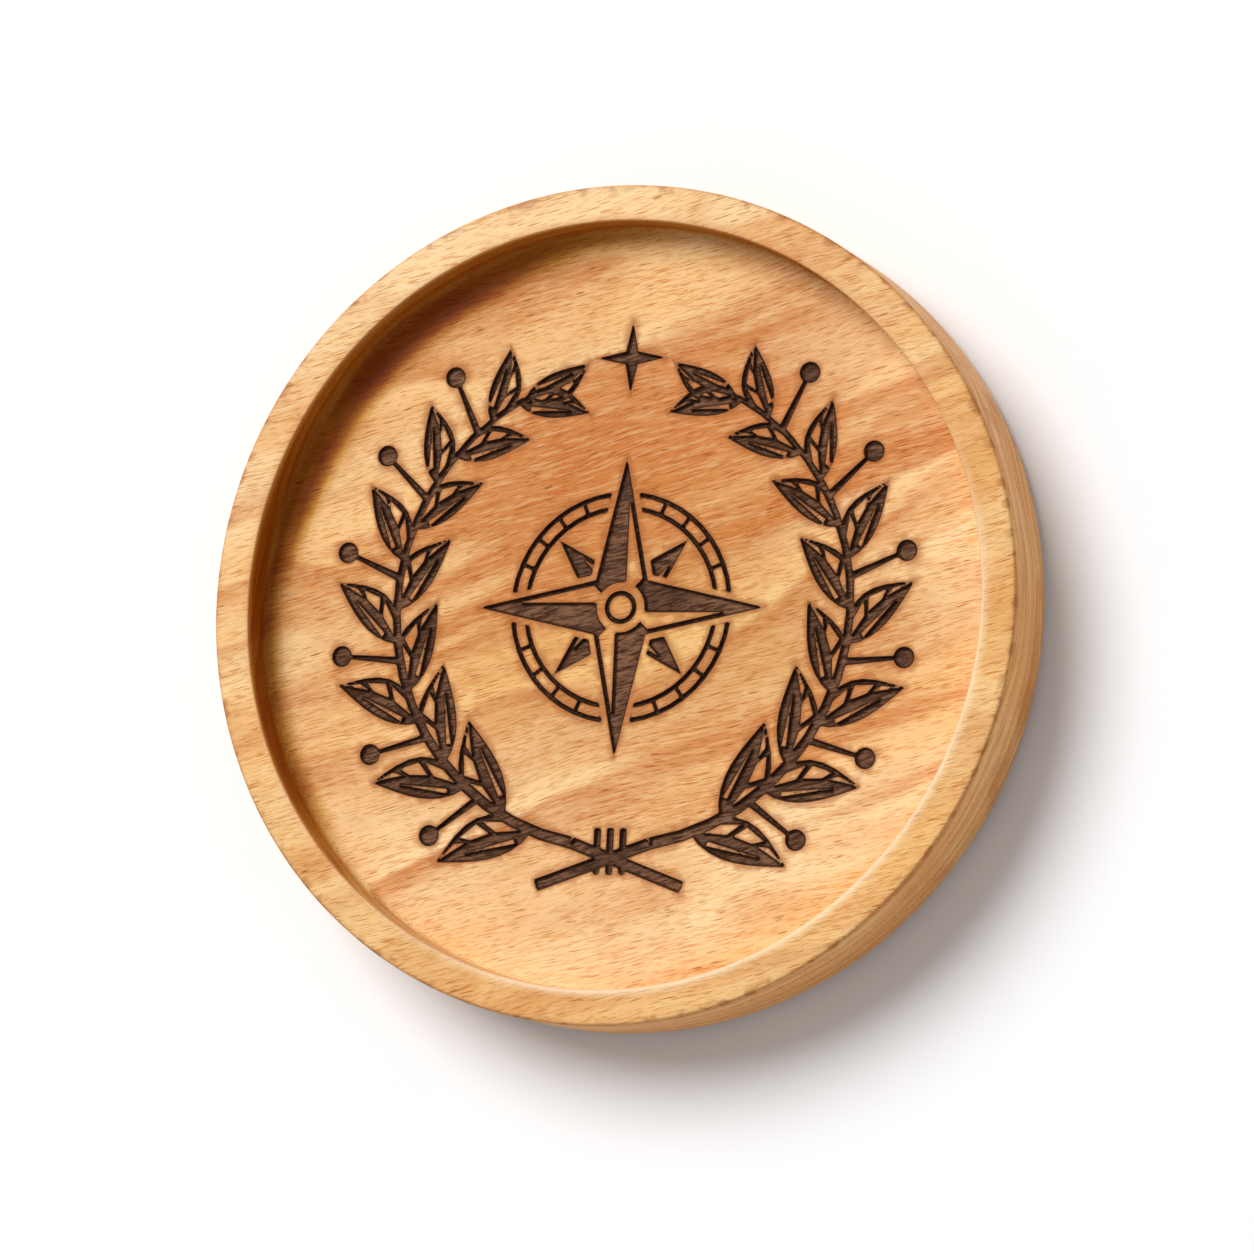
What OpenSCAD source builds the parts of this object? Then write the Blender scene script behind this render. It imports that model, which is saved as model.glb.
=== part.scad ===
// Round wooden drink coaster, turned from one board, with a glass recess and a
// burned-in ornament on its floor: two laurel branches round a compass star.
// It stands on felt dots. The origin is the middle of the footprint, +Z is up
// and +Y is the top of the ornament.

/* [Turned body] */
// Diameter across the rim
coaster_d = 100; // [92:1:120]
// Height of the turned wood, without the felt dots
body_h = 12.5; // [9:0.5:20]
// Width of the rim, from the outside to the recess wall
rim_w = 4.3; // [3:0.1:6]
// Depth of the recess that a glass stands in
recess_depth = 5; // [3:0.1:7]
// Rounding of the rim's outer edge
rim_round = 0.4; // [0.3:0.1:1.5]
// Rounding of the recess's upper edge
lip_round = 0.6; // [0.2:0.1:0.8]
// Cove between the recess wall and its floor
cove_r = 0.8; // [0.3:0.1:1.5]
// Rounding of the bottom edge
foot_round = 0.6; // [0.4:0.1:2]

/* [Felt dots] */
// Diameter of one felt dot
pad_d = 14; // [8:1:18]
// Thickness of one felt dot
pad_h = 1.5; // [1:0.25:3]
// Distance from the middle of the coaster to the middle of a dot
pad_reach = 34; // [24:1:36]
// Angle of the first dot from +X
pad_turn = 45; // [0:5:90]

/* [Burned ornament] */
// Depth of the burned grooves
burn_depth = 0.5; // [0.2:0.1:0.8]
// Width of an outline groove
line_w = 0.7; // [0.5:0.05:0.9]
// Radius of the circle that both stems follow
wreath_r = 28.5; // [27:0.5:30]
// Angle from +X where a stem starts, low down
stem_from = -80; // [-84:1:-72]
// Angle from +X where a stem ends, high up
stem_to = 62; // [50:1:68]
// Width of a stem at its foot
stem_w = 1.5; // [0.8:0.1:2]
// Leaves on each side of a stem
leaf_count = 7; // [5:1:8]
// Length of a leaf at the foot of a stem
leaf_len = 13; // [10:0.5:14]
// Width of a leaf at the foot of a stem
leaf_w = 5.4; // [4:0.1:6]
// Angle between a leaf and its stem
leaf_spread = 38; // [30:1:46]
// Diameter of a berry
berry_d = 2.6; // [1.8:0.1:3]
// Reach of the star's long points
star_reach = 18; // [14:0.5:19]
// Reach of the star's short points
star_short = 11.4; // [9:0.2:13]
// Radius of the ring behind the star
ring_r = 13.6; // [11:0.2:15]

/* [Hidden] */
$fn = 96;

// How far a cutter runs past the face that it opens
over = 1;
// Rounding of a felt dot's lower edge
pad_round = 0.3;
// Felt dots, evenly spaced
pad_count = 4;

coaster_r = coaster_d / 2;
recess_r = coaster_r - rim_w;
// Heights above the table of the rim and of the recess floor
body_top = pad_h + body_h;
floor_z = body_top - recess_depth;

// How much smaller the last leaf is than the first
leaf_shrink_share = 0.3;
// Sideways bow of a leaf's midrib
leaf_bow_share = 0.08;
// Under 1, a leaf is widest nearer its foot
leaf_belly_power = 0.85;
// Straight steps along each edge of a leaf
leaf_steps = 8;
// Shift of the inner leaves along the stem, as a share of the leaf spacing
leaf_stagger_share = 0.4;
// The open half of a leaf: windows between the veins, by where they start and
// end along the midrib
pane_shares = [[0.12, 0.35], [0.42, 0.61], [0.68, 0.84]];
// How far a vein leans towards the tip on its way to the edge
vein_lean_share = 0.1;
// The open half's reach across the leaf, from the midrib to the outline
pane_from_share = 0.14;
// Light sliver in the burned half: start and end along it, height across it
sliver_shares = [0.2, 0.7, 0.45];
// Width of the light sliver at its foot
sliver_w = 0.5;

// Straight steps along a stem
stem_steps = 18;
// Width of a stem's tip as a share of its foot
stem_tip_share = 0.45;
// Length and angle of a stem's cut end, from where the stem starts
tail_len = 15;
tail_angle = 200;
// Turns of the band round the crossing, with their width, gap and length
tie_count = 3;
tie_w = 0.9;
tie_gap = 0.7;
tie_len = 5.6;
// How much of the band is below the stems' circle
tie_drop_share = 0.6;
// Middle of a berry, along the stem and away from it
berry_along = 2.2;
berry_off = 7.2;
// Width of a berry's stalk at its outer end, and half its width at the stem
stalk_w = 0.5;
berry_fn = 16;

// Long points of the star, and as many short ones between them
star_points = 4;
// Distance from the middle to the corners between the points
star_waist = 4.6;
star_short_waist = 3.8;
// Outline of the star's open halves
star_line = 0.6;
// Width of each hoop behind the star, and the step from the outer to the inner one
ring_w = 0.6;
ring_gap = 1.7;
// Ticks between the hoops
tick_count = 24;
tick_w = 0.5;
// Ring round the bare middle of the star
hub_r = 1.7;
ring_fn = 48;
// Small star in the gap above the wreath
spark_reach = 4.4;
spark_waist = 1.1;
spark_y = 30;
// Slivers thinner than twice this are cleaned out of the grooves
clean_w = 0.05;

// Fills the corner of a section outside a round of radius r. Corner at the
// origin, material towards -X and -Y.
module corner_cut(r) {
    translate([-r, -r])
        difference() {
            square([r + over, r + over]);
            circle(r);
        }
}

// Half section of the turned body, standing on its own bottom face
module body_section() {
    difference() {
        square([coaster_r, body_h]);
        translate([coaster_r, body_h]) corner_cut(rim_round);
        translate([coaster_r, 0]) mirror([0, 1]) corner_cut(foot_round);
        translate([recess_r, body_h]) mirror([1, 0]) corner_cut(lip_round);
        translate([0, body_h - recess_depth])
            difference() {
                square([recess_r, recess_depth + over]);
                translate([recess_r, 0]) mirror([0, 1]) corner_cut(cove_r);
            }
    }
}

// Point on a leaf: t runs from foot to tip, side from -1 to 1 across it
function leaf_point(len, wide, t, side) = [
    len * t,
    len * leaf_bow_share * sin(180 * t)
        + side * wide / 2 * sin(180 * pow(t, leaf_belly_power))
];

// Points along a leaf at one height across it
function leaf_line(len, wide, side, from, to, steps) = [
    for (i = [0 : steps])
        leaf_point(len, wide, from + (to - from) * i / steps, side)
];

// Share of the half leaf that is inside the outline groove
function inner_share(wide, t) =
    max(1 - line_w / (wide / 2 * sin(180 * pow(t, leaf_belly_power))), pane_from_share);

// Open window between two veins
module pane(len, wide, from, to) {
    lean = vein_lean_share;
    near = from + lean;
    far = min(to + lean, 1 - lean / 2);
    polygon([
        leaf_point(len, wide, from, pane_from_share),
        leaf_point(len, wide, to, pane_from_share),
        leaf_point(len, wide, far, inner_share(wide, far)),
        leaf_point(len, wide, near, inner_share(wide, near))
    ]);
}

// Light sliver left in the burned half
module sliver(len, wide) {
    tip = leaf_point(len, wide, sliver_shares[1], -sliver_shares[2]);
    foot = leaf_point(len, wide, sliver_shares[0], -sliver_shares[2]);
    polygon([tip, foot, foot - [0, sliver_w]]);
}

// One leaf: half of it burned with a light sliver in it, half of it open
// between outline, midrib and veins
module leaf(len, wide) {
    difference() {
        polygon(concat(
            leaf_line(len, wide, 1, 0, 1, leaf_steps),
            leaf_line(len, wide, -1, 1, 0, leaf_steps)
        ));
        for (p = pane_shares) pane(len, wide, p[0], p[1]);
        sliver(len, wide);
    }
}

// Moves a shape onto the stem at share t, turned along it
module on_stem(t) {
    a = stem_from + (stem_to - stem_from) * t;
    rotate(a) translate([wreath_r, 0]) rotate(90) children();
}

// Berry on its stalk, on the outer side of the stem
module berry() {
    half = stalk_w / 2;
    translate([berry_along, -berry_off]) circle(d = berry_d, $fn = berry_fn);
    polygon([
        [-stalk_w, 0],
        [stalk_w, 0],
        [berry_along + half, -berry_off],
        [berry_along - half, -berry_off]
    ]);
}

// Stem that narrows along its arc, with a straight cut end at its foot
module stem() {
    angles = [for (i = [0 : stem_steps]) stem_from + (stem_to - stem_from) * i / stem_steps];
    half = [for (i = [0 : stem_steps])
        stem_w / 2 * (1 - (1 - stem_tip_share) * i / stem_steps)];
    polygon(concat(
        [for (i = [0 : stem_steps])
            (wreath_r + half[i]) * [cos(angles[i]), sin(angles[i])]],
        [for (i = [stem_steps : -1 : 0])
            (wreath_r - half[i]) * [cos(angles[i]), sin(angles[i])]]
    ));
    translate(wreath_r * [cos(stem_from), sin(stem_from)])
        rotate(tail_angle)
            translate([0, -stem_w / 2]) square([tail_len, stem_w]);
}

module branch() {
    stem();
    for (i = [0 : leaf_count - 1]) {
        t = (i + 0.5) / leaf_count;
        size = 1 - leaf_shrink_share * t;
        on_stem(t) rotate(-leaf_spread) leaf(leaf_len * size, leaf_w * size);
        on_stem(t + leaf_stagger_share / leaf_count)
            mirror([0, 1]) rotate(-leaf_spread) leaf(leaf_len * size, leaf_w * size);
        if (i > 0) on_stem(t - leaf_stagger_share / leaf_count / 2) berry();
    }
    on_stem(1) leaf(leaf_len * (1 - leaf_shrink_share), leaf_w * (1 - leaf_shrink_share));
}

// Half of one star point
module facet(reach, side) {
    polygon([[0, 0], [reach, 0], side]);
}

// A star with one half of each point burned and the other outlined
module star(reach, waist, points, line) {
    side = waist * [cos(180 / points), sin(180 / points)];
    for (i = [0 : points - 1])
        rotate(i * 360 / points) {
            facet(reach, side);
            difference() {
                facet(reach, [side[0], -side[1]]);
                offset(delta = -line) facet(reach, [side[0], -side[1]]);
            }
        }
}

module star_shape(reach, waist, points) {
    polygon([
        for (i = [0 : 2 * points - 1])
            (i % 2 == 0 ? reach : waist) * [cos(180 * i / points), sin(180 * i / points)]
    ]);
}

module hoop(r, w) {
    difference() {
        circle(r + w / 2, $fn = ring_fn);
        circle(r - w / 2, $fn = ring_fn);
    }
}

// Compass star in front of its ring, without letters
module compass() {
    difference() {
        star(star_reach, star_waist, star_points, star_line);
        circle(hub_r + ring_w + line_w, $fn = tick_count);
    }
    difference() {
        union() {
            rotate(180 / star_points) star(star_short, star_short_waist, star_points, star_line);
            hoop(ring_r, ring_w);
            hoop(ring_r - ring_gap, ring_w);
            for (i = [0 : tick_count - 1])
                rotate((i + 0.5) * 360 / tick_count)
                    translate([ring_r - ring_gap, -tick_w / 2]) square([ring_gap, tick_w]);
        }
        offset(delta = line_w) star_shape(star_reach, star_waist, star_points);
    }
    hoop(hub_r, ring_w);
}

// Band that ties the stems together
module tie() {
    pitch = tie_w + tie_gap;
    for (i = [0 : tie_count - 1])
        translate([(i - (tie_count - 1) / 2) * pitch - tie_w / 2, -wreath_r - tie_len * tie_drop_share])
            square([tie_w, tie_len]);
}

// Cutter for one group of grooves, cleaned of thin slivers
module burn() {
    translate([0, 0, floor_z - burn_depth])
        linear_extrude(burn_depth + over)
            offset(delta = clean_w) offset(delta = -clean_w) children();
}

// The turned wooden body with its burned floor
module turned_body() {
    color("burlywood")
        difference() {
            translate([0, 0, pad_h]) rotate_extrude() body_section();
            burn() branch();
            burn() mirror([1, 0]) branch();
            burn() tie();
            burn() compass();
            burn() translate([0, spark_y]) star_shape(spark_reach, spark_waist, star_points);
        }
}

// One felt dot, glued under the body
module felt_dot(i) {
    color("saddlebrown")
        rotate(pad_turn + (i - 1) * 360 / pad_count)
            translate([pad_reach, 0, 0])
                rotate_extrude()
                    difference() {
                        square([pad_d / 2, pad_h]);
                        translate([pad_d / 2, 0]) mirror([0, 1]) corner_cut(pad_round);
                    }
}

turned_body();
felt_dot(1);  // felt_dot_1
felt_dot(2);  // felt_dot_2
felt_dot(3);  // felt_dot_3
felt_dot(4);  // felt_dot_4
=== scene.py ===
"""Turned beech coaster with a burned wreath, lying on a white sweep."""

import math

import bpy
import numpy as np
from mathutils import Matrix, Vector, noise
from mathutils.geometry import delaunay_2d_cdt


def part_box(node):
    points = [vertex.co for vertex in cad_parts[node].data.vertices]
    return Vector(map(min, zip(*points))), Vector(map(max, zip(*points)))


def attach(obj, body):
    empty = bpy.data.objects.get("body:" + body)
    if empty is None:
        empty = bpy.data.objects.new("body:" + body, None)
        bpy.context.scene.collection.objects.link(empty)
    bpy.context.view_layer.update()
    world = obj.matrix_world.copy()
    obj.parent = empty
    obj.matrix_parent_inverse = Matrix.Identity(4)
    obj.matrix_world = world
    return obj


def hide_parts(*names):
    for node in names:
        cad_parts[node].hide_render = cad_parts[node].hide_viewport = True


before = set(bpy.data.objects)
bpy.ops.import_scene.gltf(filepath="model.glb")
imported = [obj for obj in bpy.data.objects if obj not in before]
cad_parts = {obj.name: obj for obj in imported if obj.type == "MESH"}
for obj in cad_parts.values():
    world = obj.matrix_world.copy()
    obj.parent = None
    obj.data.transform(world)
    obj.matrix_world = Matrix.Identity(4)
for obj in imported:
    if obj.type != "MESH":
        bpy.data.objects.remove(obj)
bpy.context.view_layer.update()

MM = 0.001
SEED = 11210

# Camera, from the fit of the rims in the photo: pixels of a 1254 px frame, then mm
PHOTO_PX = 1254
FOCAL_PX = 6060
SENSOR_MM = 36
BASE_CENTRE = Vector((1.71, -1.32, 725.0))
COASTER_AXIS = Vector((-0.3303, -0.1349, -0.9342))

# Section of the body: sizes that its solid doesn't show by itself, in mm
COVE_R = 0.8
LIP_ROUND = 0.6
LIP_CRISP = 0.25
RIM_ROUND = 0.4
FOOT_ROUND = 0.6
SECTORS = 360
SHARP_DEG = 35

# Burned floor: its fine grid, and how the grooves are shaped, in mm
FINE_R = 38.6
RING_GAP = 0.9
CELL = 0.25
REACH = 2.5
SNAP_SHARE = 0.45
WALL_RUN = 0.3
CHAR_ROUGH = 0.02
CHAR_FROM = 0.95

# Directions on the coaster: towards the sides where the painted shade is deepest, where the rim is
# lit and gets none, and where the lip is rounder and gets a painted highlight
SHADOW_SIDE = np.array((-0.743, 0.669))
LEFT_SHADE_SIDE = np.array((-0.996, -0.087))
CORNER_SIDE = np.array((-0.94, -0.342))
RIM_LIT_SIDE = np.array((-0.5, 0.866))
LIP_SIDE = np.array((0.643, -0.766))

# Painted shade, as an amber tint that takes light from the wood: deepest at the foot of the recess
# wall on the upper left, where the wall's shadow falls, also on that wall and on the rim's side
# away from the light, with an amber tint near the middle of the floor. How much of the red, green
# and blue light one unit of it takes, then its amount in units
SHADE_ABSORPTION = (1.0, 1.9, 4.5)
FLOOR_SHADE = 0.03
MIDDLE_TINT = 0.12
FOOT_SHADOW = 0.8
SHADOW_CORE = 0.5
FOOT_CORNER_SHADE = 0.4
WALL_SHADE = 0.57
LEFT_WALL_SHADE = 0.33
RIM_SHADE = 0.08

# Shape of the painted shade in mm: the painted shadow at the foot of the wall, its darkest band out
# from the wall, and the amber tint near the middle of the floor
SHADOW_REACH = 4.1
SHADOW_LEAST = 1.6
SHADOW_SOFT = 0.5
SHADOW_AWAY = 0.05
CORE_AT = 3.0
CORE_WIDTH = 0.8
HAZE_AT = np.array((6.0, -4.0))
HAZE_SPREAD = np.array((30.0, 13.0))
WALL_FADE = 0.7
FOOT_MARGIN = 1.0

# Where each of these starts and where it is full, by how far a point faces its side
SHADOW_WIDENS = (0.75, 0.97)
SHADOW_DEEPENS = (0.5, 0.9)
CORNER_SPREAD = (0.93, 0.99)
WALL_SPREAD = (-0.2, 0.3)
LEFT_SHADE_SPREAD = (0.8, 1.0)
RIM_SPREAD = (0.9, -0.3)
LIP_SPREAD = (0.1, 0.8)
LIP_WIDENS = (0.0, 0.7)

# The same by place in mm: along the painted shadow's side, from the wall, and down from the top
FLOOR_DARKENS = (-30, 35)
CORNER_REACH = (2.4, 0.6)
RIM_DEPTH = (1.0, 0.3)

# Rings of painted highlight and darkening: mm out from the recess's wall, mm down from the top, and
# width
LIP_RING = (0.2, 0.1, 0.7)
ARRIS_RING = (0.1, 0.25, 0.6)
CORNER_WIDTH = 0.75
SIDE_IN = 0.2
SIDE_DOWN = 0.3
CALM_FROM = 3.0

# Felt dots in mm: rounding of the lower edge, swell of the rim, and the matting's depth,
# lumps per mm and reach from the dot's edge and underside
FELT_SECTORS = 120
FELT_RINGS = 22
FELT_SIDE_STEPS = 7
FELT_ROUND = 0.3
FELT_SWELL = 0.15
FELT_DENT = 0.2
FELT_LUMP = 1.1
FELT_FRACTAL = (0.8, 2.0, 4)
FELT_FINE = 4.0
FELT_LUMP_SHARE = 0.7
FELT_EDGE_FROM = 5.5
FELT_EDGE_RUN = 1.2
FELT_LIFT_RUN = 0.5

# Board: direction of the fibres and of the figure, its growth layers and its heart, in mm
GRAIN_DEG = 14.5
FIGURE_DEG = 8
SWAY_SCALE = (1 / 80, 1 / 40, 1 / 40)
SWAY_MM = (0, 1.6, 1.0)
LAYER_MM = 2.6
LAYER_TILT = 0.1
LAYER_LIFT = 13.0
SHEET_MM = (40, 16, 0.9)
HEART_SCALE = (1 / 34, 1 / 20, 0)
HEART_AT = (12 / 34, 12 / 20, 0)

# Textures of the board: length and width of a feature in mm, and seed
LIFT = (95, 24, 21.0)
STREAKS = (90, 8, 9.0)

# The same, with the noise values at which a feature starts and is full
BANDS = (110, 11, 72.0, 0.38, 0.6)
WEAK_LATE = (60, 14, 71.0, 0.4, 0.6)
PALE_FIBRES = (4, 0.35, 11.0, 0.5, 0.66)
THICK_FIBRES = (45, 5, 43.0, 0.34, 0.62)
FIBRE_ROWS = (4.2, 0.2, 5.0, 0.52, 0.6)

# Vessels, seen as dashes: length and width in mm, share of the places that has one, seed,
# strength, and how much of the light a dash leaves
VESSELS = (
    (1.9, 0.17, 0.95, 19.0, 0.8, (0.72, 0.42, 0.16, 1)),
    (3.4, 0.21, 0.75, 87.0, 0.9, (0.66, 0.36, 0.11, 1)),
    (2.2, 0.26, 0.08, 61.0, 0.9, (0.36, 0.17, 0.05, 1)),
)

# One vessel: how much its size and its darkness vary and their least, where its edge
# starts to fade, and how softly the places that have one are picked
VESSEL_SIZE = (0.16, 0.26)
VESSEL_DARK = (0.6, 0.4)
VESSEL_EDGE = 0.6
VESSEL_PICK = 0.06

# How strongly each layer of the wood's look shows, and where it starts and is full
LATE_POWER = 2.0
LATE_SOFT = 0.84
LATE_WEAK = 0.3
RED_SHARE = 0.82
RED_SPAN = (0.47, 0.64)
HEART_SPAN = (0.3, 1.3, 0.1, -0.09)
SHEET_SPAN = (0.46, 0.66)
SHEET_FLOOR = 0.35
SHEET_SIDE = 0.6
PALE_SHARE = 0.25
THICK_LEAST = 0.4
THICK_SIDE = 0.2
ROW_SHARE = 0.58
CALM_SHARE = 0.55
EVEN_SPAN = (-28, -14, 0.3, 1.0)
EVEN_SIDE = 60

# Colours of the wood, 8-bit sRGB, and tints that it is multiplied by
EARLY_PALE = (254, 218, 166)
EARLY_DEEP = (249, 202, 142)
LATE = (200, 116, 46)
RED = (206, 122, 50)
SHEET = (210, 136, 62)
PALE_FIBRE = (255, 224, 176)
ARRIS = (206, 132, 70)
LIP_HIGHLIGHT = (255, 236, 200)
CORNER = (158, 88, 40)
ROW_TINT = (0.84, 0.56, 0.28, 1)
SIDE_TINT = (0.94, 0.77, 0.56, 1)

# Darkened and worn edges, the painted highlight on the lip, and the height of the grain in mm
ARRIS_SHARE = 0.55
LIP_HIGHLIGHT_SHARE = 0.72
CORNER_SHARE = 0.9
CORNER_PATCH = (0.4, 0.6, 0.6)
CORNER_WORN = (0.5, 0.62, 3.0, 0.7)
FLECK_RISE = -0.012
ROW_RISE = 0.012
GRIT_RISE = 0.12

# Gloss: roughness of the wood, of its worn lip and of the char, and the wood's specular level
WOOD_ROUGH = 0.5
LIP_ROUGH = 0.32
CHAR_DULL = 0.85
WOOD_SPECULAR = 0.14

# Burned wood: halo, grit and walls, with distances to a groove's edge in mm
HALO = (168, 92, 34)
HALO_MM = (0.5, 1.9)
HALO_PATCH = 0.5
HALO_SPAN = (0.35, 0.65)
HALO_FALL = 2.2
HALO_SHARE = 0.7
CHAR_DARK = (66, 38, 22)
CHAR_PALE = (138, 98, 72)
CHAR_DEEP = (58, 34, 22)
CHAR_WALL = (36, 18, 8)
GRIT_PATCH = (0.55, 3.6, 3.6)
GRIT_SPAN = (0.34, 0.66)
DEEP_PATCH = (0.16, 0.3, 0.3)
DEEP_SPAN = (0.4, 0.62)
DEEP_SHARE = 0.5
WALL_SHARE = 0.88
WALL_SPAN = (-0.46, -0.1)
GROOVE_SPAN = (-0.06, 0.05)

# Felt: colours in 8-bit sRGB, the scale of its strands and wool, and their height
FELT_DARK = (66, 38, 20)
FELT_MID = (104, 66, 38)
FELT_STRAND = (150, 102, 62)
STRAND_SCALE = 1.3
STRAND_WIDTH = 0.16
STRAND_SHARE = 0.7
STRAND_RISE = 0.6
WOOL_SCALE = 4.0
WOOL_SPAN = (0.34, 0.66)
FELT_BUMP_MM = 0.2

# Light, and the white paper under the coaster
KEY_AZIMUTH = Vector((-0.637, 0.771))
KEY_ELEVATION = 53
KEY_ANGLE = 36
KEY_STRENGTH = 2.72
KEY_COLOUR = (1.0, 0.99, 0.98)
SKY_COLOUR = (0.96, 0.98, 1.0, 1)
SKY_STRENGTH = 0.37
PAPER_DARK = (0.955, 0.955, 0.965, 1)
PAPER_PALE = (0.975, 0.975, 0.985, 1)
PAPER_HALF = 3.0
PAPER_MOTTLE = 60


def srgb(r, g, b):
    """Linear colour of an 8-bit sRGB one."""
    channels = []
    for c in (r, g, b):
        s = c / 255
        channels.append(s / 12.92 if s <= 0.04045 else ((s + 0.055) / 1.055) ** 2.4)
    return (*channels, 1.0)


def smooth(value, low, high):
    """0 at low, 1 at high, with a smooth step between."""
    t = np.clip((value - low) / (high - low), 0, 1)
    return t * t * (3 - 2 * t)


# The grooves, read from the solid body


def cad_triangles(node):
    """Corner places in mm and triangles of a CAD node, with doubled corners joined."""
    mesh = node.data
    mesh.calc_loop_triangles()
    co = np.empty(len(mesh.vertices) * 3)
    mesh.vertices.foreach_get("co", co)
    tri = np.empty(len(mesh.loop_triangles) * 3, dtype=np.int64)
    mesh.loop_triangles.foreach_get("vertices", tri)
    microns = np.round(co.reshape(-1, 3) / MM * 1000).astype(np.int64)
    places, ids = np.unique(microns, axis=0, return_inverse=True)
    return places / 1000, ids.reshape(-1)[tri].reshape(-1, 3)


def level_faces(points, tri):
    """Faces that lie flat and look up, by height."""
    a, b, c = (points[tri[:, i]] for i in range(3))
    normal = np.cross(b - a, c - a)
    area = np.linalg.norm(normal, axis=1)
    flat = (area > 1e-9) & (normal[:, 2] > 0.9999 * area)
    heights = np.round((a[:, 2] + b[:, 2] + c[:, 2]) / 3, 2)
    return {z: tri[flat & (heights == z)] for z in np.unique(heights[flat])}


def open_edges(faces):
    """Edges with a face on one side only."""
    pairs = np.concatenate([faces[:, [0, 1]], faces[:, [1, 2]], faces[:, [2, 0]]])
    pairs, counts = np.unique(np.sort(pairs, axis=1), axis=0, return_counts=True)
    return pairs[counts == 1]


def inside_rows(segments, xs, ys):
    """Which grid points lie inside the outlines, by the even-odd rule."""
    crossings = [[] for _ in ys]
    for a, b in segments:
        low, high = sorted((a[1], b[1]))
        for j in range(np.searchsorted(ys, low), np.searchsorted(ys, high)):
            t = (ys[j] - a[1]) / (b[1] - a[1])
            crossings[j].append(a[0] + t * (b[0] - a[0]))
    return np.array([np.searchsorted(np.sort(row), xs) % 2 == 1 for row in crossings])


def distance_field(segments, xs, ys):
    """Distance to the outlines in mm, below 0 inside a groove, and the nearest outline point."""
    near = np.stack(np.meshgrid(xs, ys), -1)
    dist = np.full(near.shape[:2], REACH)
    for a, b in segments:
        low, high = np.minimum(a, b) - REACH, np.maximum(a, b) + REACH
        i = slice(*np.searchsorted(xs, [low[0], high[0]]))
        j = slice(*np.searchsorted(ys, [low[1], high[1]]))
        p = np.stack(np.meshgrid(xs[i], ys[j]), -1)
        run = b - a
        t = np.clip((p - a) @ run / max(run @ run, 1e-12), 0, 1)
        q = a + t[..., None] * run
        d = np.linalg.norm(p - q, axis=-1)
        closer = d < dist[j, i]
        dist[j, i][closer] = d[closer]
        near[j, i][closer] = q[closer]
    return np.where(inside_rows(segments, xs, ys), -dist, dist), near


# The visible body


def arc(centre, radius, start, end, steps):
    """Points on an arc of the section, ends included."""
    turn = np.radians(np.linspace(start, end, steps))
    return np.stack([centre[0] + radius * np.cos(turn), centre[1] + radius * np.sin(turn)], 1)


def line(a, b, steps):
    """Points from a to b, ends left out."""
    t = np.linspace(0, 1, steps + 2)[1:-1, None]
    return np.array(a) * (1 - t) + np.array(b) * t


def section(ring_r, recess_r, outer_r, bottom, floor, top, lip_round):
    """Section of the body from the fine floor over the rim to the middle of the underside."""
    cove = (recess_r - COVE_R, floor + COVE_R)
    lip = (recess_r + lip_round, top - lip_round)
    edge = (outer_r - RIM_ROUND, top - RIM_ROUND)
    foot = (outer_r - FOOT_ROUND, bottom + FOOT_ROUND)
    return np.concatenate([
        [(ring_r, floor)],
        line((ring_r, floor), (cove[0], floor), steps=5),
        arc(cove, COVE_R, -90, 0, steps=7),
        line((recess_r, cove[1]), (recess_r, lip[1]), steps=3),
        arc(lip, lip_round, 180, 90, steps=7),
        line((lip[0], top), (edge[0], top), steps=4),
        arc(edge, RIM_ROUND, 90, 0, steps=8),
        line((outer_r, edge[1]), (outer_r, foot[1]), steps=7),
        arc(foot, FOOT_ROUND, 0, -90, steps=8),
        line((foot[0], bottom), (0, bottom), steps=7),
    ])


def fine_floor(segments, floor, burn):
    """Grid over the burned floor: places in mm, groove distances and quads."""
    count = int(math.ceil((FINE_R + CELL) / CELL))
    xs = np.arange(-count, count + 1) * CELL
    dist, near = distance_field(segments, xs, xs)
    places = np.stack(np.meshgrid(xs, xs), -1)
    snap = np.abs(dist) < SNAP_SHARE * CELL
    places[snap] = near[snap]
    dist[snap] = 0
    depth = smooth(-dist, 0, WALL_RUN)
    rough = np.random.default_rng(SEED).normal(0, CHAR_ROUGH, dist.shape)
    z = floor - burn * depth + rough * (depth > CHAR_FROM)
    keep = np.hypot(*np.meshgrid(xs, xs)) < FINE_R
    cells = keep[:-1, :-1] & keep[1:, :-1] & keep[:-1, 1:] & keep[1:, 1:]
    index = np.arange(dist.size).reshape(dist.shape)
    quads = np.stack([index[:-1, :-1], index[:-1, 1:], index[1:, 1:], index[1:, :-1]], -1)[cells]
    points = np.concatenate([places, z[..., None]], -1).reshape(-1, 3)
    return points, dist.reshape(-1), quads


def split_quads(points, quads):
    """Triangles, each quad cut along the diagonal that is flatter, so that walls stay clean."""
    z = points[quads][:, :, 2]
    other = np.abs(z[:, 0] - z[:, 2]) > np.abs(z[:, 1] - z[:, 3])
    turned = np.where(other[:, None], np.roll(quads, -1, axis=1), quads)
    return np.concatenate([turned[:, [0, 1, 2]], turned[:, [0, 2, 3]]])


def compact(points, values, faces):
    """Drops the points that no face uses."""
    used, faces = np.unique(faces, return_inverse=True)
    return points[used], values[used], faces.reshape(-1, 3)


def up_facing(points, faces):
    """The faces, wound so that they look up."""
    a, b, c = (points[faces[:, i]] for i in range(3))
    down = np.cross(b - a, c - a)[:, 2] < 0
    return np.where(down[:, None], faces[:, ::-1], faces)


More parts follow.
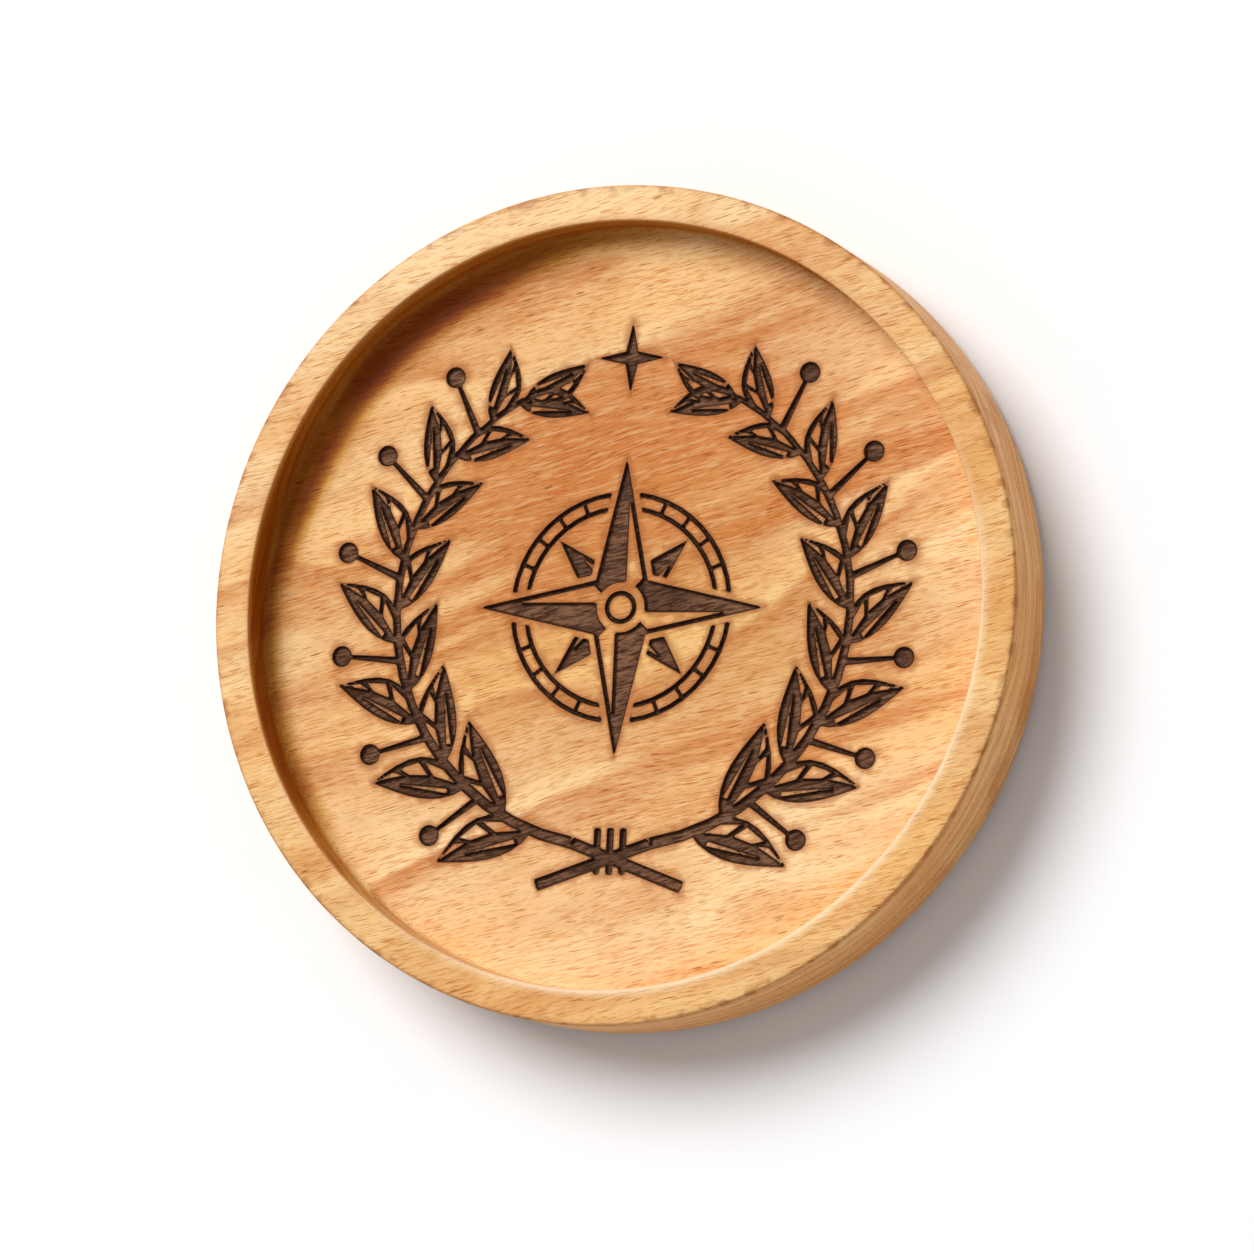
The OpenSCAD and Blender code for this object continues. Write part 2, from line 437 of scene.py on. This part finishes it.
def stitch(points, faces, ring):
    """Triangles between the ragged edge of the fine grid and the ring of points round it."""
    edges = open_edges(faces)
    rim = np.unique(edges)
    where = {v: i for i, v in enumerate(rim)}
    flat = [Vector(points[v][:2]) for v in rim] + [Vector(points[v][:2]) for v in ring]
    joins = [(where[a], where[b]) for a, b in edges]
    start = len(rim)
    joins += [(start + i, start + (i + 1) % len(ring)) for i in range(len(ring))]
    found = delaunay_2d_cdt(flat, joins, [], 0, 1e-7)
    back = np.concatenate([rim, ring])
    out = np.array([back[[found[3][v][0] for v in face]] for face in found[2]])
    middle = points[out][:, :, :2].mean(axis=1)
    cell = np.floor(middle / CELL) * CELL
    corners = cell[:, None] + np.array([(0, 0), (CELL, 0), (CELL, CELL), (0, CELL)])
    covered = (np.linalg.norm(corners, axis=2) < FINE_R).all(axis=1)
    return up_facing(points, out[~covered])


def ring_faces(index):
    """Triangles between each row of points and the next, with every row closed to a ring."""
    side = np.roll(index, -1, axis=1)
    a, b, c, d = index[:-1], index[1:], side[1:], side[:-1]
    return np.concatenate([np.stack([a, b, c], -1), np.stack([a, c, d], -1)]).reshape(-1, 3)


def revolve(crisp, worn):
    """Rings of points round the axis, from the crisp section to the worn one at the lower right."""
    turn = np.arange(SECTORS) * 2 * math.pi / SECTORS
    out = np.stack([np.cos(turn), np.sin(turn)], -1)
    share = smooth(out @ LIP_SIDE, *LIP_WIDENS)
    r, z = (crisp[:, i, None] * (1 - share) + worn[:, i, None] * share for i in (0, 1))
    return np.concatenate([r[..., None] * out, z[..., None]], -1)


def make_mesh(name, points, faces, attributes):
    """Mesh object from points in mm, with float attributes on its points."""
    mesh = bpy.data.meshes.new(name)
    mesh.from_pydata((points * MM).tolist(), [], faces.tolist())
    mesh.update()
    for key, values in attributes.items():
        made = mesh.attributes.new(key, "FLOAT", "POINT")
        made.data.foreach_set("value", values.astype(np.float32))
    mesh.shade_smooth()
    mesh.set_sharp_from_angle(angle=math.radians(SHARP_DEG))
    obj = bpy.data.objects.new(name, mesh)
    bpy.context.scene.collection.objects.link(obj)
    return obj


def from_axis(points):
    """Distance of each point from the axis, and the direction that it lies in."""
    r = np.hypot(points[:, 0], points[:, 1])
    return r, points[:, :2] / np.maximum(r, 1)[:, None]


def painted_foot_shadow(across, from_wall):
    """Painted shadow at the foot of the wall, widest and deepest on the side towards the light,
    with a darker band out from the wall and painted shade in the corner at the left.
    """
    facing = across @ SHADOW_SIDE
    # the painted shadow's darkest band, out from the wall
    ridge = np.exp(-((from_wall - CORE_AT) / CORE_WIDTH) ** 2)
    reach = SHADOW_LEAST + (SHADOW_REACH - SHADOW_LEAST) * smooth(facing, *SHADOW_WIDENS)
    shadow = (FOOT_SHADOW + SHADOW_CORE * ridge) / (1 + np.exp((from_wall - reach) / SHADOW_SOFT))
    shadow = shadow * (SHADOW_AWAY + (1 - SHADOW_AWAY) * smooth(facing, *SHADOW_DEEPENS))
    # painted shade in the corner at the foot of the wall, on the left
    corner = smooth(from_wall, *CORNER_REACH) * smooth(across @ CORNER_SIDE, *CORNER_SPREAD)
    return shadow + FOOT_CORNER_SHADE * corner


def floor_shade_and_tint(flat):
    """Painted shade over the floor, darker towards the shadow's side, and an amber tint near the
    middle.
    """
    haze = np.exp(-(((flat - HAZE_AT) / HAZE_SPREAD) ** 2).sum(axis=1))
    return FLOOR_SHADE * smooth(flat @ SHADOW_SIDE, *FLOOR_DARKENS) + MIDDLE_TINT * haze


def painted_wall_shade(across, below_top):
    """Painted shade on the wall of the recess on the side towards the light, where the wall faces
    away from it, darker still at the left, thinner under the rim.
    """
    wall = WALL_SHADE * smooth(across @ SHADOW_SIDE, *WALL_SPREAD)
    # a darker streak of painted shade on the wall at the left
    run = LEFT_WALL_SHADE * smooth(across @ LEFT_SHADE_SIDE, *LEFT_SHADE_SPREAD)
    return (wall + run) * np.clip(below_top / WALL_FADE, 0, 1)


def painted_recess_shade(points, recess_r, floor, top):
    """Amount of painted shade at each point of the recess and rim, 0 near the foot."""
    r, across = from_axis(points)
    z = points[:, 2]
    rise = np.clip((z - floor) / COVE_R, 0, 1)
    flat = np.maximum(painted_foot_shadow(across, recess_r - r), floor_shade_and_tint(points[:, :2]))
    recess = flat * (1 - rise) + painted_wall_shade(across, top - z) * rise
    near_top = smooth(top - z, *RIM_DEPTH)
    # painted shade on the rim's side away from the light
    rim = RIM_SHADE * smooth(across @ RIM_LIT_SIDE, *RIM_SPREAD) * near_top
    painted_shade = np.where(r < recess_r + LIP_ROUND / 2, recess, rim)
    return np.where(z < floor - FOOT_MARGIN, 0, painted_shade)


def ring_share(points, radius, height, width):
    """1 on the ring at that radius and height, falling to 0 at width from it."""
    r, _ = from_axis(points)
    return np.clip(1 - np.hypot(r - radius, points[:, 2] - height) / width, 0, 1)


def edge_share(points, recess_r, top, ring):
    """1 on one of the rings at the recess's upper edge, falling to 0 beside it."""
    out, down, width = ring
    return ring_share(points, recess_r + out, top - down, width)


def side_share(points, outer_r, top):
    """1 on the outer wall, falling to 0 over its top edge."""
    r, _ = from_axis(points)
    near_side = np.clip(1 - (outer_r - r) / SIDE_IN, 0, 1)
    return near_side * np.clip((top - points[:, 2]) / SIDE_DOWN, 0, 1)


def surface_shares(points, recess_r, outer_r, floor, top):
    """Where the body gets painted shade, a painted lip highlight, darker edges or a plainer figure,
    for the wood's material.
    """
    _, across = from_axis(points)
    side = side_share(points, outer_r, top)
    # painted highlight: the lip is made paler only on the lower-right side, which faces the light
    worn = smooth(across @ LIP_SIDE, *LIP_SPREAD)
    return {
        "painted_shade": painted_recess_shade(points, recess_r, floor, top),
        "lip": edge_share(points, recess_r, top, LIP_RING) * worn,
        "arris": edge_share(points, recess_r, top, ARRIS_RING),
        "corner": ring_share(points, outer_r, top, CORNER_WIDTH),
        "calm": np.maximum(smooth(points[:, 2], floor + CALM_FROM, top), side),
        "side": side,
    }


def build_body():
    """The turned body with its burned floor, at full detail."""
    points, tri = cad_triangles(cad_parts["turned_body"])
    levels = level_faces(points, tri)
    groove_z, floor_z, top_z = sorted(levels)
    low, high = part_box("turned_body")
    outer_r, bottom = high.x / MM, low.z / MM
    recess_r = np.hypot(*points[np.unique(levels[floor_z])][:, :2].T).max() + COVE_R
    segments = points[open_edges(levels[groove_z])][:, :, :2]
    grid, dist, quads = fine_floor(segments, floor_z, floor_z - groove_z)
    grid, dist, faces = compact(grid, dist, split_quads(grid, quads))
    sizes = (FINE_R + RING_GAP, recess_r, outer_r, bottom, floor_z, top_z)
    rings = revolve(section(*sizes, LIP_CRISP), section(*sizes, LIP_ROUND))
    index = len(grid) + np.arange(rings.shape[0] * SECTORS).reshape(-1, SECTORS)
    everything = np.concatenate([grid, rings.reshape(-1, 3), [(0, 0, bottom)]])
    joined = stitch(everything, faces, index[0])
    last = index[-1]
    cap = np.stack([last, np.full(SECTORS, len(everything) - 1), np.roll(last, -1)], -1)
    faces = np.concatenate([faces, joined, ring_faces(index), cap])
    shares = {"edge_mm": np.concatenate([dist, np.full(len(everything) - len(dist), REACH)])}
    shares.update(surface_shares(everything, recess_r, outer_r, floor_z, top_z))
    return make_mesh("coaster_body", everything, faces, shares)


# The felt dots


def felt_profile(radius, low, high):
    """Section of a pressed felt dot, from near the middle of its underside to its glued face."""
    rise = np.linspace(0, 1, FELT_SIDE_STEPS)
    swell = radius - FELT_SWELL * (1 - np.sin(math.pi * rise))
    side = np.stack([swell, low + FELT_ROUND + rise * (high - low - FELT_ROUND)], 1)
    inner = swell[0] - FELT_ROUND
    corner = arc((inner, low + FELT_ROUND), FELT_ROUND, -90, 0, steps=5)[:-1]
    under = [(inner * share, low) for share in np.linspace(0, 1, FELT_RINGS)[1:-1]]
    return np.concatenate([under, corner, side])


def felt_dot(name, low, high):
    """Felt dot in place of its CAD node: matted, uneven underside and a slightly swollen rim."""
    centre = (low + high) / 2 / MM
    bottom, top = low.z / MM, high.z / MM
    profile = felt_profile((high.x - low.x) / 2 / MM, bottom, top)
    turn = np.arange(FELT_SECTORS) * 2 * math.pi / FELT_SECTORS
    r, z = profile[:, :1], profile[:, 1:]
    rings = np.stack([r * np.cos(turn), r * np.sin(turn), np.repeat(z, FELT_SECTORS, axis=1)], -1)
    points = np.concatenate([rings.reshape(-1, 3), [(0, 0, bottom), (0, 0, top)]])
    points[:, :2] += (centre.x, centre.y)
    points = np.array([matted(Vector(p), centre, bottom, top) for p in points])
    index = np.arange(len(profile) * FELT_SECTORS).reshape(-1, FELT_SECTORS)
    side = np.roll(index, -1, axis=1)
    below = np.stack([index[0], np.full(FELT_SECTORS, len(points) - 2), side[0]], -1)
    above = np.stack([index[-1], side[-1], np.full(FELT_SECTORS, len(points) - 1)], -1)
    wall = ring_faces(index)[:, ::-1]
    return make_mesh(name, points, np.concatenate([wall, below, above]), {})


def matted(p, centre, low, high):
    """The point moved a little inwards, as matted wool is uneven; the glued face stays flat."""
    lump = 0.5 + 0.5 * noise.fractal(p * FELT_LUMP, *FELT_FRACTAL)
    fine = 0.5 + 0.5 * noise.noise(p * FELT_FINE + Vector((SEED % 97, 0, 0)))
    mixed = FELT_LUMP_SHARE * lump + (1 - FELT_LUMP_SHARE) * fine
    dent = FELT_DENT * min(max(mixed, 0), 1)
    out = Vector((p.x - centre.x, p.y - centre.y))
    if p.z < high - 1e-6 and out.length > 0:
        edge = min(max((out.length - FELT_EDGE_FROM) / FELT_EDGE_RUN, 0), 1)
        p = p - out.normalized().to_3d() * dent * edge
    lift = dent * min(max(1 - (p.z - low) / FELT_LIFT_RUN, 0), 1)
    return p + Vector((0, 0, lift))


# Materials


class Tree:
    """Short words for building a node tree."""

    def __init__(self, tree):
        self.tree = tree

    def node(self, kind, inputs=None, **settings):
        """New node with its settings made and its inputs set or linked."""
        made = self.tree.nodes.new(kind)
        for key, value in settings.items():
            setattr(made, key, value)
        for key, value in (inputs or {}).items():
            self.put(made.inputs[key], value)
        return made

    def put(self, socket, value):
        """Links the value to the socket if it is one itself, and sets it otherwise."""
        if isinstance(value, bpy.types.NodeSocket):
            self.tree.links.new(value, socket)
        else:
            socket.default_value = value

    def math(self, operation, a, b=0.0, c=0.0):
        made = self.node("ShaderNodeMath", {0: a, 1: b, 2: c}, operation=operation)
        return made.outputs[0]

    def vector(self, operation, a, b):
        made = self.node("ShaderNodeVectorMath", {0: a, 1: b}, operation=operation)
        return made.outputs["Vector"]

    def length(self, a):
        made = self.node("ShaderNodeVectorMath", {0: a}, operation="LENGTH")
        return made.outputs["Value"]

    def scaled(self, a, factor):
        return self.vector("MULTIPLY", a, (factor, factor, factor))

    def turned(self, a, degrees):
        inputs = {"Vector": a, "Angle": math.radians(degrees)}
        return self.node("ShaderNodeVectorRotate", inputs).outputs["Vector"]

    def noise(self, vector, detail=2.0, roughness=0.5, distortion=0.0):
        inputs = {
            "Vector": vector,
            "Scale": 1.0,
            "Detail": detail,
            "Roughness": roughness,
            "Distortion": distortion,
        }
        return self.node("ShaderNodeTexNoise", inputs).outputs["Fac"]

    def span(self, value, low, high, to_low=0.0, to_high=1.0):
        """value from low to high mapped smoothly to another span, clamped."""
        inputs = dict(enumerate((value, low, high, to_low, to_high)))
        made = self.node("ShaderNodeMapRange", interpolation_type="SMOOTHSTEP")
        for key, number in inputs.items():
            self.put(made.inputs[key], number)
        return made.outputs[0]

    def mix(self, share, a, b, blend="MIX"):
        made = self.node("ShaderNodeMix", data_type="RGBA", blend_type=blend)
        for key, value in {0: share, 6: a, 7: b}.items():
            self.put(made.inputs[key], value)
        return made.outputs[2]

    def part(self, share, strength, a, b, blend="MIX"):
        """mix with the share scaled by a strength."""
        return self.mix(self.math("MULTIPLY", share, strength), a, b, blend)

    def attribute(self, name):
        return self.node("ShaderNodeAttribute", attribute_name=name).outputs["Fac"]

    def place_mm(self):
        """Place on the object, in mm."""
        return self.scaled(self.node("ShaderNodeTexCoord").outputs["Object"], 1000)

    def bump(self, height, distance):
        inputs = {"Strength": 1.0, "Distance": distance, "Height": height}
        return self.node("ShaderNodeBump", inputs).outputs["Normal"]


def new_material(name):
    """Empty material, its tree and its output socket."""
    made = bpy.data.materials.new(name)
    made.use_nodes = True
    made.node_tree.nodes.clear()
    tree = Tree(made.node_tree)
    output = tree.node("ShaderNodeOutputMaterial")
    return made, tree, output.inputs["Surface"]


def grain_space(t):
    """Place in the board in mm: x along the grain, y across it, z up, with a gentle sway."""
    turned = t.turned(t.place_mm(), -GRAIN_DEG)
    slow = t.vector("MULTIPLY", turned, SWAY_SCALE)
    sway = t.node("ShaderNodeTexNoise", {"Vector": slow, "Detail": 0.0}).outputs["Color"]
    sway = t.vector("SUBTRACT", sway, (0.5, 0.5, 0.5))
    return t.vector("ADD", turned, t.vector("MULTIPLY", sway, SWAY_MM))


def stretched(t, place, along, across, seed):
    """Texture space whose features are about `along` mm by `across` mm."""
    moved = t.vector("ADD", place, (seed, seed * 0.7, seed * 0.3))
    return t.vector("MULTIPLY", moved, (1 / along, 1 / across, 1 / across))


def features(t, place, texture, low=0.0, high=1.0, **settings):
    """Noise with one of the board's textures, as a share from low to high."""
    along, across, seed, start, full = texture
    found = t.noise(stretched(t, place, along, across, seed), **settings)
    return t.span(found, start, full, low, high)


def growth_height(t, figure):
    """Height within the stack of growth layers, in mm."""
    across, up = t.node("ShaderNodeSeparateXYZ", {"Vector": figure}).outputs[1:]
    lift = t.noise(stretched(t, figure, *LIFT), detail=1.0, roughness=0.35)
    height = t.math("ADD", t.math("MULTIPLY", across, LAYER_TILT), up)
    return t.math("ADD", height, t.math("MULTIPLY", lift, LAYER_LIFT))


def late_lines(t, figure, height, side):
    """Line of late wood at the end of each growth layer, weaker in places."""
    layer = t.math("FRACT", t.math("MULTIPLY", height, 1 / LAYER_MM))
    fade = t.span(layer, LATE_SOFT, 1.0, 1.0, 0.0)
    late = t.math("MULTIPLY", t.math("POWER", layer, LATE_POWER), fade)
    weak = features(t, figure, WEAK_LATE, LATE_WEAK, 1.0, detail=1.0)
    return t.math("MULTIPLY", late, t.math("MAXIMUM", weak, side))


def red_streaks(t, place, figure):
    """Reddish streaks, denser towards the heart of the board."""
    from_heart = t.vector("SUBTRACT", t.vector("MULTIPLY", place, HEART_SCALE), HEART_AT)
    heart = t.span(t.length(from_heart), *HEART_SPAN)
    red = t.math("ADD", t.noise(stretched(t, figure, *STREAKS)), heart)
    return t.math("MULTIPLY", t.span(red, *RED_SPAN), RED_SHARE)


def growth_sheets(t, along, across, height):
    """Soft sheets of deeper colour that follow the growth layers."""
    places = zip((along, across, height), SHEET_MM)
    scaled = [t.math("MULTIPLY", place, 1 / size) for place, size in places]
    sheet = t.node("ShaderNodeCombineXYZ", dict(enumerate(scaled))).outputs[0]
    return t.span(t.noise(sheet), *SHEET_SPAN)


def figured_wood(t, place, side):
    """Colour of the board's figure: bands, late wood, reddish streaks and sheets."""
    figure = t.turned(place, -FIGURE_DEG)
    along, across, _ = t.node("ShaderNodeSeparateXYZ", {"Vector": place}).outputs
    height = growth_height(t, figure)
    calm = t.span(t.attribute("calm"), 0.0, 1.0, 1.0, CALM_SHARE)
    even = t.span(t.math("MAXIMUM", across, t.math("MULTIPLY", side, EVEN_SIDE)), *EVEN_SPAN)
    bands = features(t, figure, BANDS, detail=3.0)
    colour = t.mix(bands, srgb(*EARLY_PALE), srgb(*EARLY_DEEP))
    late = t.math("MULTIPLY", late_lines(t, figure, height, side), calm)
    colour = t.part(late, even, colour, srgb(*LATE))
    colour = t.part(red_streaks(t, place, figure), calm, colour, srgb(*RED))
    sheets = t.math("MULTIPLY", growth_sheets(t, along, across, height), even)
    return t.part(sheets, t.span(side, 0, 1, SHEET_FLOOR, SHEET_SIDE), colour, srgb(*SHEET))


def vessels(t, place, length, width, share, seed):
    """Short dark dashes along the grain, and dots where the grain ends, from 0 to 1."""
    cells = stretched(t, place, length, width, seed)
    found = t.node("ShaderNodeTexVoronoi", {"Vector": cells, "Scale": 1.0, "Randomness": 1.0})
    pick, reach, fade = t.node("ShaderNodeSeparateColor", {"Color": found.outputs["Color"]}).outputs
    size = t.math("MULTIPLY_ADD", reach, *VESSEL_SIZE)
    dash = t.span(t.math("DIVIDE", found.outputs["Distance"], size), VESSEL_EDGE, 1.0, 1.0, 0.0)
    dash = t.math("MULTIPLY", dash, t.math("MULTIPLY_ADD", fade, *VESSEL_DARK))
    return t.math("MULTIPLY", dash, t.span(pick, 1 - share, 1 - share + VESSEL_PICK))


def wood_colour(t, place):
    """Bare wood colour, the share of vessels in it and the share of darker fibre rows."""
    side = t.attribute("side")
    colour = figured_wood(t, place, side)
    pale = features(t, place, PALE_FIBRES, detail=1.0)
    colour = t.part(pale, PALE_SHARE, colour, srgb(*PALE_FIBRE))
    thick = features(t, place, THICK_FIBRES, THICK_LEAST, 1.0, detail=1.0)
    thick = t.math("MULTIPLY", thick, t.span(side, 0.0, 1.0, 1.0, THICK_SIDE))
    rows = t.math("MULTIPLY", features(t, place, FIBRE_ROWS, roughness=0.55), thick)
    colour = t.part(rows, ROW_SHARE, colour, ROW_TINT, "MULTIPLY")
    fleck = 0.0
    for length, width, share, seed, strength, tint in VESSELS:
        dash = vessels(t, place, length, width, share, seed)
        colour = t.part(dash, strength, colour, tint, "MULTIPLY")
        fleck = t.math("MAXIMUM", fleck, dash)
    return colour, fleck, rows


def finished_wood(t, place, colour):
    """The wood's colour with painted shade in the recess and on the rim, its edges darkened and a
    painted highlight on the lip.
    """
    # painted shade: an amber tint that takes light from the wood where the recess and rim are
    # shaded
    painted_shade = t.attribute("painted_shade")
    seen = [t.math("EXPONENT", t.math("MULTIPLY", painted_shade, -share)) for share in SHADE_ABSORPTION]
    shade_tint = t.node("ShaderNodeCombineColor", dict(enumerate(seen))).outputs[0]
    colour = t.mix(1.0, colour, shade_tint, "MULTIPLY")
    colour = t.part(t.attribute("arris"), ARRIS_SHARE, colour, srgb(*ARRIS))
    # painted highlight on the lip at the lower right
    colour = t.part(t.attribute("lip"), LIP_HIGHLIGHT_SHARE, colour, srgb(*LIP_HIGHLIGHT))
    colour = t.mix(t.attribute("side"), colour, SIDE_TINT, "MULTIPLY")
    worn = t.noise(t.vector("MULTIPLY", place, CORNER_PATCH), detail=3.0)
    corner = t.math("POWER", t.attribute("corner"), t.span(worn, *CORNER_WORN))
    return t.part(corner, CORNER_SHARE, colour, srgb(*CORNER))


def scorched(t, place, edge, colour):
    """The colour with a scorched halo along the grooves, wider in places."""
    patchy = t.noise(t.scaled(place, HALO_PATCH), detail=3.0)
    reach = t.span(patchy, *HALO_SPAN, *HALO_MM)
    halo = t.span(t.math("DIVIDE", edge, reach), 0.0, 1.0, 1.0, 0.0)
    return t.part(t.math("POWER", halo, HALO_FALL), HALO_SHARE, colour, srgb(*HALO))


def charred(t, place, edge):
    """Colour of the burned wood, darkest on the grooves' walls, and its grit."""
    grit = t.noise(t.vector("MULTIPLY", place, GRIT_PATCH), detail=3.0, roughness=0.6)
    deep = t.span(t.noise(t.vector("MULTIPLY", place, DEEP_PATCH)), *DEEP_SPAN)
    char = t.mix(t.span(grit, *GRIT_SPAN), srgb(*CHAR_DARK), srgb(*CHAR_PALE))
    char = t.part(deep, DEEP_SHARE, char, srgb(*CHAR_DEEP))
    return t.part(t.span(edge, *WALL_SPAN), WALL_SHARE, char, srgb(*CHAR_WALL)), grit


def wood_material():
    """Oiled beech with its burned ornament."""
    made, t, out = new_material("oiled_beech")
    place = grain_space(t)
    edge = t.attribute("edge_mm")
    colour, fleck, rows = wood_colour(t, place)
    colour = scorched(t, place, edge, finished_wood(t, place, colour))
    char, grit = charred(t, place, edge)
    inside = t.span(edge, *GROOVE_SPAN, 1.0, 0.0)
    rise = t.math("ADD", t.math("MULTIPLY", fleck, FLECK_RISE), t.math("MULTIPLY", rows, ROW_RISE))
    burned = t.math("MULTIPLY", t.math("MULTIPLY", inside, grit), GRIT_RISE)
    satin = t.span(t.attribute("lip"), 0.0, 0.5, WOOD_ROUGH, LIP_ROUGH)
    shader = t.node("ShaderNodeBsdfPrincipled", {
        "Base Color": t.mix(inside, colour, char),
        "Roughness": t.math("MAXIMUM", satin, t.math("MULTIPLY", inside, CHAR_DULL)),
        "Specular IOR Level": WOOD_SPECULAR,
        "Normal": t.bump(t.math("ADD", rise, burned), MM),
    })
    t.put(out, shader.outputs[0])
    return made


def felt_material():
    """Pressed brown wool felt with matted fibres."""
    made, t, out = new_material("brown_felt")
    place = t.place_mm()
    strands = t.noise(t.scaled(place, STRAND_SCALE), detail=4.0, roughness=0.7, distortion=2.2)
    ridge = t.math("ABSOLUTE", t.math("SUBTRACT", t.math("MULTIPLY", strands, 2.0), 1.0))
    ridge = t.span(ridge, 0.0, STRAND_WIDTH, 1.0, 0.0)
    wool = t.noise(t.scaled(place, WOOL_SCALE), detail=4.0, roughness=0.75)
    colour = t.mix(t.span(wool, *WOOL_SPAN), srgb(*FELT_DARK), srgb(*FELT_MID))
    height = t.math("ADD", t.math("MULTIPLY", ridge, STRAND_RISE), wool)
    shader = t.node("ShaderNodeBsdfPrincipled", {
        "Base Color": t.part(ridge, STRAND_SHARE, colour, srgb(*FELT_STRAND)),
        "Roughness": 0.95,
        "Specular IOR Level": 0.1,
        "Sheen Weight": 0.12,
        "Sheen Roughness": 0.5,
        "Normal": t.bump(height, FELT_BUMP_MM * MM),
    })
    t.put(out, shader.outputs[0])
    return made


def paper_material():
    """White sweep that the coaster lies on."""
    made, t, out = new_material("white_sweep")
    place = t.node("ShaderNodeTexCoord").outputs["Object"]
    mottle = t.noise(t.scaled(place, PAPER_MOTTLE))
    shader = t.node("ShaderNodeBsdfPrincipled", {
        "Base Color": t.mix(mottle, PAPER_DARK, PAPER_PALE),
        "Roughness": 0.9,
        "Specular IOR Level": 0.1,
    })
    t.put(out, shader.outputs[0])
    return made


# Floor, camera and light


def add_floor():
    """Wide white sheet at the height of the table."""
    half = PAPER_HALF
    mesh = bpy.data.meshes.new("sweep")
    corners = [(-half, -half, 0), (half, -half, 0), (half, half, 0), (-half, half, 0)]
    mesh.from_pydata(corners, [], [(0, 1, 2, 3)])
    floor = bpy.data.objects.new("sweep", mesh)
    bpy.context.scene.collection.objects.link(floor)
    mesh.materials.append(paper_material())


def add_camera():
    """Camera at the place that the photo was taken from."""
    up = COASTER_AXIS.normalized()
    image_up = Vector((0, -1, 0))
    y_axis = (image_up - image_up.dot(up) * up).normalized()
    x_axis = y_axis.cross(up)
    pad_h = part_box("turned_body")[0].z / MM
    origin = (BASE_CENTRE - pad_h * up) * MM
    row_to_lens = Matrix((x_axis, y_axis, up)).transposed().to_4x4()
    row_to_lens.translation = origin
    flip = Matrix.Diagonal((1, -1, -1, 1))
    data = bpy.data.cameras.new("camera")
    data.sensor_width = SENSOR_MM
    data.lens = FOCAL_PX / PHOTO_PX * SENSOR_MM
    data.clip_start = 0.01
    camera = bpy.data.objects.new("camera", data)
    camera.matrix_world = (flip @ row_to_lens).inverted()
    bpy.context.scene.collection.objects.link(camera)
    bpy.context.scene.camera = camera


def add_light():
    """Wide soft key from the upper left, and an even white sky."""
    data = bpy.data.lights.new("key", "SUN")
    data.energy = KEY_STRENGTH
    data.angle = math.radians(KEY_ANGLE)
    data.color = KEY_COLOUR
    key = bpy.data.objects.new("key", data)
    elevation = math.radians(KEY_ELEVATION)
    flat = KEY_AZIMUTH.normalized() * math.cos(elevation)
    towards = Vector((flat.x, flat.y, math.sin(elevation)))
    key.rotation_euler = towards.to_track_quat("Z", "Y").to_euler()
    bpy.context.scene.collection.objects.link(key)
    world = bpy.data.worlds.new("sky")
    bpy.context.scene.world = world
    world.use_nodes = True
    back = world.node_tree.nodes["Background"]
    back.inputs["Color"].default_value = SKY_COLOUR
    back.inputs["Strength"].default_value = SKY_STRENGTH


def main():
    """Builds the pieces and the stage."""
    body = build_body()
    body.data.materials.append(wood_material())
    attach(body, "root")
    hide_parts("turned_body")
    felt = felt_material()
    for name in sorted(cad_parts):
        if name.startswith("felt_dot"):
            dot = felt_dot("pressed_" + name, *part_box(name))
            dot.data.materials.append(felt)
            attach(dot, "root")
            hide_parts(name)
    add_floor()
    add_camera()
    add_light()
    bpy.context.scene.view_settings.view_transform = "Standard"


main()
